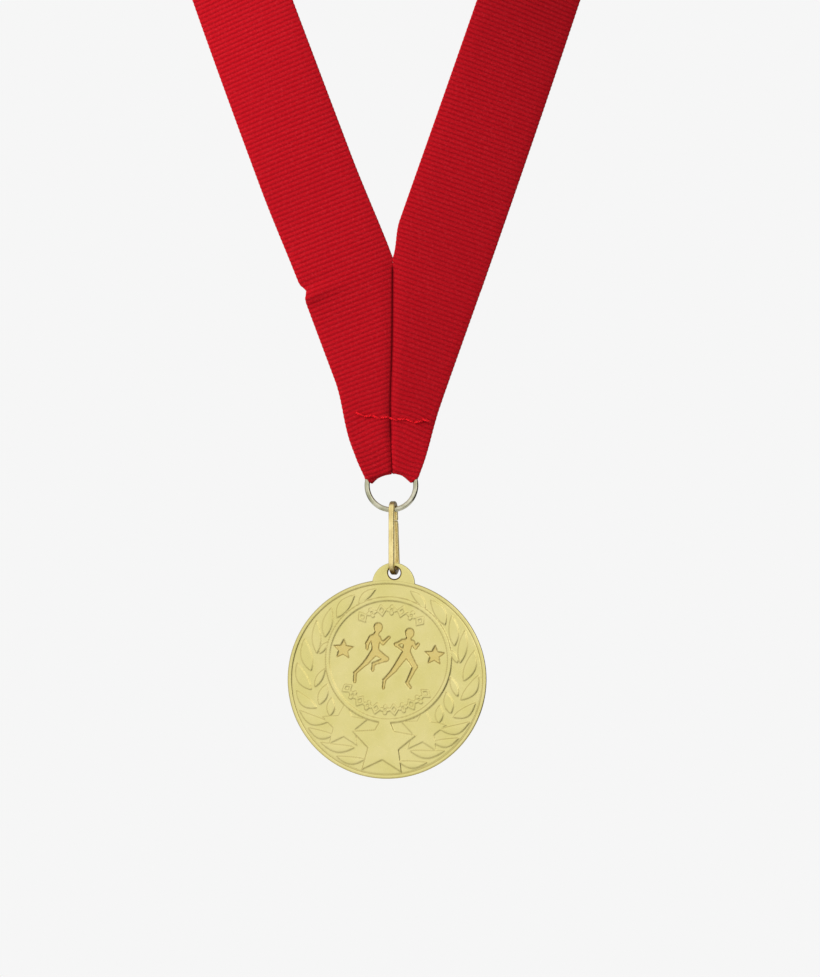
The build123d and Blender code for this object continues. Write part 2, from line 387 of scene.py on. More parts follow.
def half_width(side, slope, row_u):
    """Half the panel's width along one row, worked out from that row's edge height in the flat."""
    turn_start = EDGE_FOLD_Z + TURN_RADIUS
    width = np.maximum(RIBBON_WIDTH * math.cos(slope) + row_u * math.sin(slope), 3.0)
    for _ in range(12):
        edge_z = VEE[1] + row_u / math.cos(slope) - width * math.tan(slope)
        straight = RIBBON_WIDTH / math.cos(slope) - (VEE[1] - edge_z) * math.tan(slope)
        if side < 0:
            spread = 1.75 * smooth_step((24 - edge_z) / 15) - 0.3 * smooth_step((6 - edge_z) / 5)
        else:
            spread = 0.35 - 1.0 * smooth_step((edge_z - 4) / 14)
        past = turn_start - edge_z
        turned = FOLD_HALF_WIDTH - FOLD_PINCH * np.sin(np.clip(past / TURN_RADIUS, 0, math.pi))
        tail = 0.2 * np.maximum(past - math.pi * TURN_RADIUS, 0)
        width = 0.5 * width + 0.5 * np.where(past < 0, straight + spread, turned + tail)
    return width - side * seam_drift(edge_z)


def mitre_place(side, slope, row_u, share, out, inward):
    """Points of one half of the mitred panel, carried round its fold under the ring's wire."""
    flat_z = VEE[1] + row_u / math.cos(slope) - out * math.tan(slope)
    ripple = 0.2 * np.sin(0.6 * out - 0.35 * row_u) * smooth_step((-row_u - 20) / 12)
    flat_z += ripple * np.minimum(1, np.abs(out))
    x = VEE[0] * np.clip(flat_z, 0, VEE[1]) / VEE[1] + seam_drift(flat_z) + side * out
    fold_z = FOLD_BOTTOM - (FOLD_BOTTOM - EDGE_FOLD_Z) * share**2 - (0.12 if side < 0 else 0)
    start = fold_z + TURN_RADIUS
    past = np.maximum(start - flat_z, 0)
    angle = np.minimum(past / TURN_RADIUS, math.pi)
    risen = np.maximum(past - math.pi * TURN_RADIUS, 0)
    front = panel_surface(x, np.maximum(flat_z, start))
    drawn = smooth_step((STITCH_Z - flat_z) / 9.5)
    front_y = front[..., 1] * (1 - drawn) - TURN_RADIUS * drawn
    front_y += 0.16 * np.sin(0.75 * x + 0.5) * smooth_step((20 - flat_z) / 9) * (angle == 0) * (1 - drawn)
    gathered = smooth_step((start + risen - 7) / 8) * (risen > 0)
    back_y = TURN_RADIUS + (BACK_LAYER_Y - TURN_RADIUS) * gathered
    front_y = front_y + 0.05 * out * smooth_step(-row_u / 12) * (1 - drawn)
    turning_y = -np.cos(angle) * (TURN_RADIUS - inward)
    y = np.where(past <= 0, front_y + inward, np.where(risen > 0, back_y - inward, turning_y))
    z = np.where(
        past <= 0, front[..., 2],
        np.where(risen > 0, start + risen, start - np.sin(angle) * (TURN_RADIUS - inward)),
    )
    return np.stack([np.where(past <= 0, front[..., 0], x), y, z], -1), flat_z


def mitre_rows(side):
    """One half of the panel: its face, and the edge turned under along the centre seam."""
    slope = math.radians(STRAP_ANGLE - side * LOOP_LEAN)
    row_u = -np.arange(MITRE_RIBS * RIB_STEPS + 1)[:, None] * RIB_PITCH / RIB_STEPS
    seam_z = VEE[1] + row_u / math.cos(slope)
    width = half_width(side, slope, row_u)
    begun = smooth_step((VEE[1] - seam_z) / 3.0)
    tight = smooth_step((seam_z - TIGHT_BELOW) / 3.0)
    radius = (TIGHT_FOLD_RADIUS + (SEAM_FOLD_RADIUS - TIGHT_FOLD_RADIUS) * tight) * (0.3 + 0.7 * begun)
    start = begun * 1.45 * radius - 0.14 * (1 - begun)
    scallop = SCALLOP * np.abs(np.sin(math.pi * np.arange(len(row_u)) / RIB_STEPS))
    out = start + COLUMNS[None, :] * (width - start)
    out[:, -1] += scallop
    out[:, 0] += 0.07 - scallop
    drawn_in, forward = pucker(row_u, COLUMNS[None, :])
    out -= drawn_in if side < 0 else 0
    face, flat_z = mitre_place(side, slope, row_u, COLUMNS[None, :] + 0 * out, out, 0)
    face[..., 1] -= forward if side < 0 else 0
    angles = np.radians([35, 70, 105, 145, 180])[None, :]
    under = np.clip(0.38 * (VEE[1] - seam_z), 0.1, np.maximum(width - 0.9 - start, 0.1))
    under = 0.15 + (under - 0.15) * tight
    flap = start + under * np.array([[0.3, 0.65, 1.0]])
    out_fold = np.concatenate([start - radius * np.sin(angles), flap], 1)
    inward = np.concatenate([radius * (1 - np.cos(angles)), 2 * radius + 0 * flap], 1)
    fold, _ = mitre_place(side, slope, row_u, 0 * out_fold, out_fold, inward)
    return face, fold, flat_z, np.minimum(0.8 * radius, 0.2)[:, 0]


def number_faces(number):
    """Quads of a grid of point numbers."""
    stacked = [number[:-1, :-1], number[:-1, 1:], number[1:, 1:], number[1:, :-1]]
    return np.stack(stacked, -1).reshape(-1, 4).tolist()


def make_ribbon(material):
    """The whole ribbon: one closed, ribbed sheet from one sewn end to the other."""
    band = band_rows()
    halves = {side: mitre_rows(side) for side in (-1, 1)}
    left, right = halves[-1][0], halves[1][0]
    rows = len(left) - 1
    middle = np.concatenate([left[:0:-1], band, right[1:]])
    phase = np.arange(len(middle)) - rows
    rib = np.abs(np.sin(math.pi * phase / RIB_STEPS))
    share = np.where((COLUMNS < 0.005) | (COLUMNS > 0.995), SELVEDGE_SHARE, 1.0)
    half = (VALLEY_HALF + RIB_RISE * rib)[:, None] * share[None, :]
    normal = grid_normals(middle)
    count = middle.shape[0] * middle.shape[1]
    outer = np.arange(count).reshape(middle.shape[:2])
    inner = outer + count
    chunks = [middle + normal * half[..., None], middle - normal * half[..., None]]
    place_along = np.broadcast_to(phase[:, None] * RIB_PITCH / RIB_STEPS, half.shape)
    place_across = np.broadcast_to(COLUMNS[None, :] * RIBBON_WIDTH, half.shape)
    alongs = [place_along, place_along]
    acrosses = [place_across, place_across]
    # Painted shade along the centre seam's fold, fed to the ribbon's colour
    seam = np.zeros(half.shape)
    row = np.arange(len(seam))
    mitred = (row < rows - PLAIN_ROWS) | (row > len(seam) - rows + PLAIN_ROWS - 1)
    seam[mitred, 0] = 0.15
    seam_shades = [seam, seam]
    faces = number_faces(outer) + number_faces(inner)
    faces += strip_faces(outer[:, -1], inner[:, -1])
    faces += strip_faces(outer[0], inner[0]) + strip_faces(outer[-1], inner[-1])
    plain = slice(rows - PLAIN_ROWS, rows + len(band) + PLAIN_ROWS)
    faces += strip_faces(outer[plain, 0], inner[plain, 0])
    total = 2 * count
    for side in (-1, 1):
        face, fold, _, thin = halves[side]
        picked = np.arange(PLAIN_ROWS, len(face))
        joined = np.concatenate([face[picked][:, :2][:, ::-1], fold[picked]], 1)
        turned = grid_normals(joined)[:, 2:]
        at = rows - picked if side < 0 else rows + len(band) - 1 + picked
        if np.sum(turned[0, 0] * normal[at[0], 0]) < 0:
            turned = -turned
        ribbed = thin[picked][:, None, None] * (0.85 + 0.15 * rib[at])[:, None, None]
        fold_points = fold[picked]
        size = fold_points.shape[0] * fold_points.shape[1]
        first = np.arange(size).reshape(fold_points.shape[:2]) + total
        second = first + size
        chunks += [fold_points + turned * ribbed, fold_points - turned * ribbed]
        for _ in range(2):
            alongs.append(np.broadcast_to(place_along[at][:, :1], fold_points.shape[:2]))
            acrosses.append(np.zeros(fold_points.shape[:2]))
            # Painted shade down into the seam's fold, fading across the turned-under flap
            seam_shades.append(np.tile([0.9, 0.9, 0.9, 0.6, 0.2, 0, 0, 0], (len(picked), 1)))
        first = np.concatenate([outer[at, 0][:, None], first], 1)
        second = np.concatenate([inner[at, 0][:, None], second], 1)
        faces += number_faces(first) + number_faces(second)
        faces += strip_faces(first[:, -1], second[:, -1])
        faces += strip_faces(first[0], second[0]) + strip_faces(first[-1], second[-1])
        total += 2 * size
    shell = Shell()
    shell.add(
        np.concatenate([c.reshape(-1, 3) for c in chunks]), faces,
        along=np.concatenate([a.reshape(-1) for a in alongs]),
        across=np.concatenate([a.reshape(-1) for a in acrosses]),
        seam=np.concatenate([a.reshape(-1) for a in seam_shades]),
    )
    return shell.build("neck_ribbon", material)


def add_thread(shell, path):
    """A two-ply thread along a path of points."""
    radius = THREAD_RADIUS
    direction = np.gradient(path, axis=0)
    direction /= np.linalg.norm(direction, axis=1, keepdims=True)
    ahead = np.array([0, -1.0, 0])
    side = np.cross(direction, ahead)
    side /= np.linalg.norm(side, axis=1, keepdims=True)
    up = np.cross(side, direction)
    length = np.concatenate([[0], np.cumsum(np.linalg.norm(np.diff(path, axis=0), axis=1))])
    for ply in (0, math.pi):
        angle = length * 2 * math.pi / PLY_TURN + ply
        middle = path + (side * np.cos(angle)[:, None] + up * np.sin(angle)[:, None]) * radius * 0.5
        section = round_section(radius * 0.62, 7)
        add_sweep(shell, middle, side, up, section, along=np.repeat(length, len(section)))


def stitch_row(shell, count, y_of, z_of, phase):
    """Stitches across the panel between its edges, each rising out of the ribbon and back."""
    first, last = STITCH_ENDS
    pitch = (last - first) / count
    for i in range(count):
        t = np.linspace(0, 1, 13)
        x = first + pitch * (i + phase + 0.06 + 0.88 * t)
        lift = np.sin(math.pi * t) ** 0.5
        z = z_of(x) + 0.16 * np.sin(2.4 * i + 1) + 0.42 * (t - 0.5) * (1 if i % 2 else -1)
        add_thread(shell, np.stack([x, y_of(x, lift), z], 1))


def make_stitches(material):
    """Two rows of machine stitches: on the front of the ribbon and on the back of its rear layer."""
    shell = Shell()

    def front_y(x, lift):
        surface = panel_surface(x, np.full_like(x, STITCH_Z))[:, 1]
        return surface - VALLEY_HALF - RIB_RISE + 0.22 - 0.34 * lift

    def back_y(x, lift):
        return BACK_LAYER_Y + 0.13 + 0.2 * lift + 0 * x

    def row_z(x):
        return STITCH_ROW_Z + 0.9 * smooth_step((0 - x) / 9) - 0.65 * smooth_step(x / 5)

    stitch_row(shell, FRONT_STITCHES, front_y, row_z, 0.0)
    stitch_row(shell, BACK_STITCHES, back_y, row_z, 0.5)
    return shell.build("ribbon_stitches", material)


# ---- jump ring and link

def make_ring(material):
    """Round wire ring, cut under the link, its ends a little out of line."""
    gap = RING_GAP / RING_RADIUS
    start = -math.pi / 2 + LINK_OFFSET / RING_RADIUS + gap / 2
    turn = np.linspace(0, 1, 220)
    angle = start + turn * (2 * math.pi - gap)
    out = np.stack([np.cos(angle), 0 * angle, np.sin(angle)], 1)
    ahead = np.tile([0, -1.0, 0], (len(angle), 1))
    slip = RING_SLIP * (smooth_step((0.06 - turn) / 0.06) - smooth_step((turn - 0.94) / 0.06))
    path = out * RING_RADIUS + ahead * slip[:, None] / 2
    shell = Shell()
    ease = np.ones(len(turn))
    ease[[0, -1]] = 0.86
    add_sweep(shell, path, out * ease[:, None], ahead * ease[:, None], round_section(WIRE_RADIUS, 24))
    return shell.build("jump_ring_wire", material)


def link_path():
    """The link's centre line in its own plane, from one side of its seam round to the other."""
    wire_z = -math.sqrt(RING_RADIUS**2 - LINK_OFFSET**2)
    top_r = LINK_TOP_INSIDE + LINK_WIRE / 2
    foot_r = LINK_FOOT_INSIDE + LINK_WIRE / 2
    top_z = wire_z + WIRE_RADIUS + LINK_RING_PLAY - LINK_TOP_INSIDE
    hole_z = DISC_CENTRE[1] + HOLE_HEIGHT * math.cos(math.radians(DISC_TILT))
    turn = math.radians(LINK_TURN)
    reach = EAR_HALF / math.cos(turn)
    corner = LINK_WIDTH / 2 * math.cos(turn) + reach * math.sin(turn)
    headroom = math.sqrt((HOLE_RADIUS - LINK_EAR_PLAY) ** 2 - corner**2)
    foot_z = hole_z + headroom + math.sqrt(LINK_FOOT_INSIDE**2 - reach**2)
    lean = math.asin((foot_r - top_r) / (top_z - foot_z))
    seam_z = top_z + top_r + LINK_WIRE / 2 - LINK_SEAM
    back_top = np.array([top_r * math.cos(lean), top_z + top_r * math.sin(lean)])
    back_foot = np.array([foot_r * math.cos(lean), foot_z + foot_r * math.sin(lean)])

    def leg(z):
        return back_top + (back_foot - back_top) * (z - back_top[1]) / (back_foot[1] - back_top[1])

    def line(a, b, steps):
        return a + (b - a) * np.linspace(0, 1, steps, endpoint=False)[:, None]

    def arc(centre_z, radius, first, last, steps):
        angle = np.radians(np.linspace(first, last, steps, endpoint=False))
        return np.stack([radius * np.cos(angle), centre_z + radius * np.sin(angle)], 1)

    tilt = math.degrees(lean)
    flip = np.array([-1, 1])
    pieces = [
        line(leg(seam_z - LINK_SEAM_GAP), back_foot, 12),
        arc(foot_z, foot_r, tilt, -180 - tilt, 40),
        line(back_foot * flip, back_top * flip, 16),
        arc(top_z, top_r, 180 - tilt, tilt, 28),
        line(back_top, leg(seam_z), 8),
        leg(seam_z)[None, :],
    ]
    return np.concatenate(pieces), wire_z


def make_link(material):
    """Square wire bent into a long teardrop through the ring and the ear."""
    flat, wire_z = link_path()
    direction = np.gradient(flat, axis=0)
    direction /= np.linalg.norm(direction, axis=1, keepdims=True)
    normal = np.stack([direction[:, 1], -direction[:, 0]], 1)
    turn, tilt = math.radians(-LINK_TURN), math.radians(-LINK_TILT)

    def place(points, move):
        x, y, z = points[:, 0], points[:, 1], points[:, 2] - (wire_z if move else 0)
        x, y = x * math.cos(turn) - y * math.sin(turn), x * math.sin(turn) + y * math.cos(turn)
        x, z = x * math.cos(tilt) + z * math.sin(tilt), -x * math.sin(tilt) + z * math.cos(tilt)
        if move:
            x, z = x + LINK_OFFSET, z + wire_z
        return np.stack([x, y, z], 1)

    zero = np.zeros(len(flat))
    path = place(np.stack([zero, flat[:, 0], flat[:, 1]], 1), True)
    sides = place(np.stack([zero + 1, zero, zero], 1), False)
    ups = place(np.stack([zero, normal[:, 0], normal[:, 1]], 1), False)
    ease = np.ones(len(flat))
    ease[[0, -1]] = 0.88
    shell = Shell()
    section = square_section(LINK_WIDTH, LINK_WIRE, LINK_CORNER, 5)
    top, foot = flat[:, 1].max(), flat[:, 1].min()
    # Darker brown towards the top bend and the foot, where the link meets the ring and the ear
    rubbed = smooth_step((flat[:, 1] - top + 0.9) / 0.8) + smooth_step((foot + 2.0 - flat[:, 1]) / 1.5)
    add_sweep(
        shell, path, sides * ease[:, None], ups * ease[:, None], section,
        rubbed=np.repeat(rubbed, len(section)),
    )
    return shell.build("hanger_link_wire", material)


# ---- medal disc

FIELD = 0.9                         # heights ahead of the disc's middle plane
RIM_LINE = 21.5
SIDE_HALF = 0.8
BOSS_RIM_WIDTH = 0.9
BOSS_FLOOR_RISE = 0.1
BOSS_RISE = 0.27
STAR_WAIST = 0.48
FRONT_STAR = (0.15, -14.55, 7.6)
SIDE_STAR = (8.95, -11.0, 5.4)
SMALL_STAR = (10.35, 6.15, 2.3)
INCUSE_DEPTH = 0.28
ORNAMENT_RADIUS = 11.3

# Each leaf: its tip, its base, its width and how far its middle bows to the left of base to tip
LEAVES = (
    ((-3.9, 20.3), (-7.6, 16.7), 1.7, 0.3),
    ((-8.6, 18.6), (-12.3, 13.2), 2.5, 0.4),
    ((-13.6, 15.4), (-14.7, 8.6), 2.2, 0.15),
    ((-16.8, 12.3), (-16.2, 4.8), 2.0, 0.1),
    ((-19.3, 7.9), (-17.3, 0.8), 2.5, 0.35),
    ((-20.6, 2.4), (-17.0, -3.5), 2.4, 0.6),
    ((-20.3, -3.9), (-15.5, -7.5), 2.2, 0.6),
    ((-19.3, -8.3), (-12.8, -10.5), 2.1, 0.9),
    ((-17.1, -12.1), (-11.3, -13.4), 1.9, 0.7),
    ((-14.1, -15.2), (-6.3, -15.8), 1.8, 0.8),
    ((-10.3, -18.1), (-3.9, -18.4), 1.7, 0.6),
    ((-14.0, 7.6), (-15.6, 4.8), 1.2, 0.1),
    ((-14.1, 1.6), (-16.2, -2.8), 1.5, 0.1),
    ((-13.5, -1.9), (-14.9, -6.7), 2.1, 0.0),
    ((-12.3, -4.9), (-12.3, -9.1), 1.8, 0.0),
)

# Each runner: round-ended limbs from one place to another, with the two ends' radii
FIRST_RUNNER = (
    ((-2.8, 11.7), (-2.8, 11.4), 0.95, 0.9),
    ((-2.9, 10.6), (-3.3, 9.6), 0.42, 0.6),
    ((-3.9, 9.3), (-2.6, 9.2), 0.55, 0.5),
    ((-3.25, 8.9), (-3.1, 6.4), 0.95, 0.72),
    ((-4.3, 9.2), (-5.0, 7.8), 0.42, 0.34),
    ((-5.0, 7.8), (-5.0, 6.6), 0.34, 0.24),
    ((-2.6, 9.1), (-1.5, 8.1), 0.36, 0.32),
    ((-1.5, 8.1), (-0.2, 9.5), 0.32, 0.28),
    ((-3.0, 6.1), (-0.5, 4.6), 0.8, 0.5),
    ((-0.5, 4.6), (-3.3, 3.3), 0.46, 0.28),
    ((-3.3, 3.3), (-3.4, 1.9), 0.26, 0.3),
    ((-3.4, 5.8), (-4.9, 3.6), 0.78, 0.5),
    ((-4.9, 3.6), (-7.3, 1.0), 0.48, 0.26),
    ((-7.3, 1.0), (-7.3, -1.0), 0.26, 0.3),
)
SECOND_RUNNER = (
    ((4.4, 10.9), (4.4, 10.6), 0.98, 0.92),
    ((4.3, 9.8), (4.1, 8.9), 0.42, 0.6),
    ((3.0, 8.8), (5.2, 8.7), 0.45, 0.5),
    ((4.1, 8.5), (3.9, 6.2), 1.0, 0.8),
    ((3.0, 8.9), (1.4, 8.0), 0.36, 0.3),
    ((1.4, 8.0), (3.0, 7.0), 0.28, 0.26),
    ((5.2, 8.6), (5.9, 7.6), 0.36, 0.3),
    ((5.9, 7.6), (6.5, 8.4), 0.3, 0.3),
    ((4.3, 5.9), (6.1, 3.3), 0.8, 0.5),
    ((6.1, 3.3), (4.6, -0.4), 0.5, 0.27),
    ((4.6, -0.5), (5.4, -1.5), 0.28, 0.24),
    ((3.5, 5.7), (1.4, 2.2), 0.8, 0.5),
    ((1.4, 2.2), (-0.6, -0.2), 0.46, 0.26),
    ((-0.6, -0.2), (-0.7, -2.0), 0.27, 0.28),
)


def limb_distance(x, z, limb):
    """Distance to a round-ended limb that tapers from one end to the other."""
    (ax, az), (bx, bz), first, last = limb
    length = math.hypot(bx - ax, bz - az)
    t = ((x - ax) * (bx - ax) + (z - az) * (bz - az)) / length**2
    t = np.clip(t, 0, 1)
    return np.hypot(x - ax - t * (bx - ax), z - az - t * (bz - az)) - first - (last - first) * t


def figure_distance(x, z, limbs):
    """Distance to a figure of limbs that run softly into each other."""
    gathered = sum(np.exp(-9.0 * np.clip(limb_distance(x, z, limb), -3, 6)) for limb in limbs)
    return -np.log(np.maximum(gathered, 1e-20)) / 9.0


def star_distance(x, z, cx, cz, radius):
    """Distance to a five-pointed star with one point up."""
    angle = np.arctan2(x - cx, z - cz)
    sector = math.radians(72)
    angle = np.abs((angle + sector / 2) % sector - sector / 2)
    reach = np.hypot(x - cx, z - cz)
    px, pz = reach * np.cos(angle), reach * np.sin(angle)
    qx = radius * STAR_WAIST * math.cos(sector / 2)
    qz = radius * STAR_WAIST * math.sin(sector / 2)
    nx, nz = qz, radius - qx
    return ((px - radius) * nx + pz * nz) / math.hypot(nx, nz)


def leaf_shape(x, z, leaf, mirror):
    """Distance to a leaf's edge, and the place across it from -1 to 1."""
    (tx, tz), (bx, bz), width, bow = leaf
    x = x * mirror
    length = math.hypot(tx - bx, tz - bz)
    ux, uz = (tx - bx) / length, (tz - bz) / length
    s = ((x - bx) * ux + (z - bz) * uz) / length
    v = (z - bz) * ux - (x - bx) * uz
    inside = np.clip(s, 0, 1)
    v = v - bow * np.sin(math.pi * inside)
    half = width / 2 * np.sin(math.pi * inside**0.9) ** 0.85
    beyond = np.maximum(np.maximum(-s, s - 1), 0) * length
    past = np.abs(v) - half
    return np.hypot(np.maximum(past, 0), beyond) + np.minimum(past, 0), v / np.maximum(half, 0.05)


def wall(distance, width=0.26):
    """1 inside an outline, 0 outside it, with a steep wall between."""
    return smooth_step(0.5 - distance / width)


def ornament(x, z, top, half_angle, count):
    """A band of lozenges and four-petalled flowers about the boss, raised; 1 on top of them."""
    dx, dz = x, (z - BOSS_HEIGHT) * (1 if top else -1)
    angle = np.degrees(np.arctan2(dx, dz))
    pitch = 2 * half_angle / count
    index = np.clip(np.floor((angle + half_angle) / pitch), 0, count - 1)
    u = np.radians(angle + half_angle - (index + 0.5) * pitch) * ORNAMENT_RADIUS
    v = np.hypot(dx, dz) - ORNAMENT_RADIUS
    lozenge = (np.abs(u) / 1.15 + np.abs(v) / 1.45 - 1) * 0.9
    inner = (np.abs(u) / 0.5 + np.abs(v) / 0.65 - 1) * 0.4
    turned = np.arctan2(v, u)
    petals = np.hypot(u, v) - 0.55 - 0.62 * np.abs(np.cos(2 * turned))
    eye = np.hypot(u, v) - 0.28
    framed = wall(lozenge, 0.27) - wall(inner, 0.27)
    flower = wall(petals, 0.27) - wall(eye, 0.27)
    shape = np.where(index % 2 == 0, framed, flower)
    return shape * (np.abs(angle) < half_angle)


def relief(x, z):
    """Height of the disc's front ahead of its middle plane, and its sunk share."""
    radius = np.hypot(x, z)
    boss = np.hypot(x, z - BOSS_HEIGHT)
    height = np.full_like(x, FIELD)
    for mirror in (1, -1):
        for leaf in LEAVES:
            edge, across = leaf_shape(x, z, leaf, mirror)
            dome = 0.14 + 0.04 * np.clip(1 - across**2, 0, 1)
            height = np.maximum(height, FIELD + dome * wall(edge, 0.3))
    for mirror in (1, -1):
        side = star_distance(x * mirror, z, SIDE_STAR[0], SIDE_STAR[1], SIDE_STAR[2])
        height = height * (1 - wall(side)) + (FIELD + 0.13) * wall(side)
    front = star_distance(x, z, *FRONT_STAR)
    height = height * (1 - wall(front)) + (FIELD + 0.28) * wall(front)
    on_boss = wall(boss - BOSS_RADIUS, 0.3)
    inner = wall(boss - (BOSS_RADIUS - BOSS_RIM_WIDTH), 0.35)
    boss_top = FIELD + BOSS_RISE - (BOSS_RISE - BOSS_FLOOR_RISE) * inner
    boss_top += 0.1 * ornament(x, z, True, 41.0, 7) * inner
    boss_top += 0.1 * ornament(x, z, False, 57.0, 11) * inner
    height = height * (1 - on_boss) + boss_top * on_boss
    sunk = np.zeros_like(x)
    for mirror in (1, -1):
        sunk = np.maximum(sunk, wall(star_distance(x * mirror, z, *SMALL_STAR), 0.24))
    for limbs in (FIRST_RUNNER, SECOND_RUNNER):
        sunk = np.maximum(sunk, wall(figure_distance(x, z, limbs), 0.22))
    height -= INCUSE_DEPTH * sunk
    inner_lift = smooth_step((radius - RIM_LINE) / 0.3)
    outer_drop = np.clip((radius - DISC_RADIUS + 0.4) / 0.4, 0, 1)
    rim = FIELD + 0.17 * inner_lift - (FIELD + 0.17 - SIDE_HALF) * (1 - np.sqrt(1 - outer_drop**2))
    height = np.where(radius > RIM_LINE, rim, height)
    height -= 0.06 * np.exp(-((radius - RIM_LINE) / 0.1) ** 2)
    return np.stack([height, sunk])


def sampled_relief(x, z):
    """Relief averaged over four nearby places, so outlines stay smooth, with its steepness."""
    reach = 0.05
    east_north, east_south = relief(x + reach, z + reach), relief(x + reach, z - reach)
    west_north, west_south = relief(x - reach, z + reach), relief(x - reach, z - reach)
    height, sunk = (east_north + east_south + west_north + west_south) / 4
    slope_x = (east_north + east_south - west_north - west_south)[0] / (4 * reach)
    slope_z = (east_north + west_north - east_south - west_south)[0] / (4 * reach)
    on_rim = np.hypot(x, z) > RIM_LINE - 0.3
    return np.where(on_rim, relief(x, z)[0], height), sunk, np.hypot(slope_x, slope_z)


def disc_rings(core, rim_radii):
    """X and Z of a square grid drawn out into a disc, its outer rings at the given radii."""
    reach = core + len(rim_radii)
    i, j = np.meshgrid(np.arange(-reach, reach + 1), np.arange(-reach, reach + 1), indexing="ij")
    ring = np.maximum(np.abs(i), np.abs(j))
    radii = np.concatenate([np.linspace(0, rim_radii[0] - 0.16, core + 1), rim_radii])
    radius = radii[ring]
    larger_i = np.abs(i) >= np.abs(j)
    bend = math.pi / 4 * np.where(larger_i, j, i) / np.maximum(ring, 1)
    main = radius * np.cos(bend) * np.sign(np.where(larger_i, i, j))
    cross = radius * np.sin(bend)
    return np.where(larger_i, main, cross), np.where(larger_i, cross, main)


def square_edge(number):
    """Point numbers round the outside of a square grid."""
    return np.concatenate([number[:-1, 0], number[-1, :-1], number[:0:-1, -1], number[0, :0:-1]])


def place_disc(points):
    """From the upright disc about its own centre to its place under the link."""
    tilt = math.radians(DISC_TILT)
    x, y, z = points[..., 0], points[..., 1], points[..., 2]
    return np.stack([
        DISC_CENTRE[0] + x * math.cos(tilt) + z * math.sin(tilt),
        y,
        DISC_CENTRE[1] - x * math.sin(tilt) + z * math.cos(tilt),
    ], -1)


def add_disc(shell):
    """The stamped disc: relief in front, a rounded side and a recessed back."""
    core = 128
    rim_radii = np.array([
        21.36, 21.44, RIM_LINE, 21.56, 21.66, 21.8, 22.1, 22.2, 22.32, 22.42, 22.48, DISC_RADIUS,
    ])
    x, z = disc_rings(core, rim_radii)
    height, sunk, slope = sampled_relief(x, z)
    boss_floor = BOSS_RADIUS - BOSS_RIM_WIDTH
    strength = 0.45 + 0.25 * (np.hypot(x, z - BOSS_HEIGHT) < boss_floor - 0.3)
    # Painted shade: darker colour on the relief's steep walls and on the disc's outer edge, where they
    # fall into shade
    crease = strength * smooth_step((slope - 0.15) / 0.45)
    crease = np.maximum(crease, 0.5 * smooth_step((np.hypot(x, z) - 22.3) / 0.15))
    front = place_disc(np.stack([x, -height, z], -1))
    count = front.shape[0] * front.shape[1]
    number = np.arange(count).reshape(x.shape)
    edge = square_edge(number)
    rows = [edge]
    points, sunks, painted_shades = [front.reshape(-1, 3)], [sunk.reshape(-1)], [crease.reshape(-1)]
    total = count
    edge_x, edge_z = x.reshape(-1)[edge], z.reshape(-1)[edge]
    back_profile = [
        (22.42, 1.03), (22.2, 1.18), (21.75, 1.18), (21.55, 1.1), (21.4, 0.92), (21.2, 0.9),
        (20.6, 0.9), (12.0, 0.9), (4.0, 0.9),
    ]
    profile = [(DISC_RADIUS, SIDE_HALF)] + back_profile
    for radius, y in profile:
        share = radius / DISC_RADIUS
        ring = place_disc(np.stack([edge_x * share, np.full(len(edge), y), edge_z * share], -1))
        points.append(ring)
        sunks.append(np.zeros(len(edge)))
        # Painted shade along the back's step at the rim line
        painted_shades.append(np.full(len(edge), 0.6 if 21.4 < radius < 21.6 else 0.0))
        rows.append(np.arange(len(edge)) + total)
        total += len(edge)
    faces = number_faces(number)
    for first, second in zip(rows, rows[1:]):
        loop_a, loop_b = np.append(first, first[0]), np.append(second, second[0])
        faces += strip_faces(loop_a, loop_b)
    points.append(place_disc(np.array([[0, FIELD, 0]])))
    faces += [(int(a), int(b), total) for a, b in zip(rows[-1], np.roll(rows[-1], -1))]
    sunks.append(np.zeros(1))
    painted_shades.append(np.zeros(1))
    shell.add(
        np.concatenate(points), faces, sunk=np.concatenate(sunks), crease=np.concatenate(painted_shades)
    )


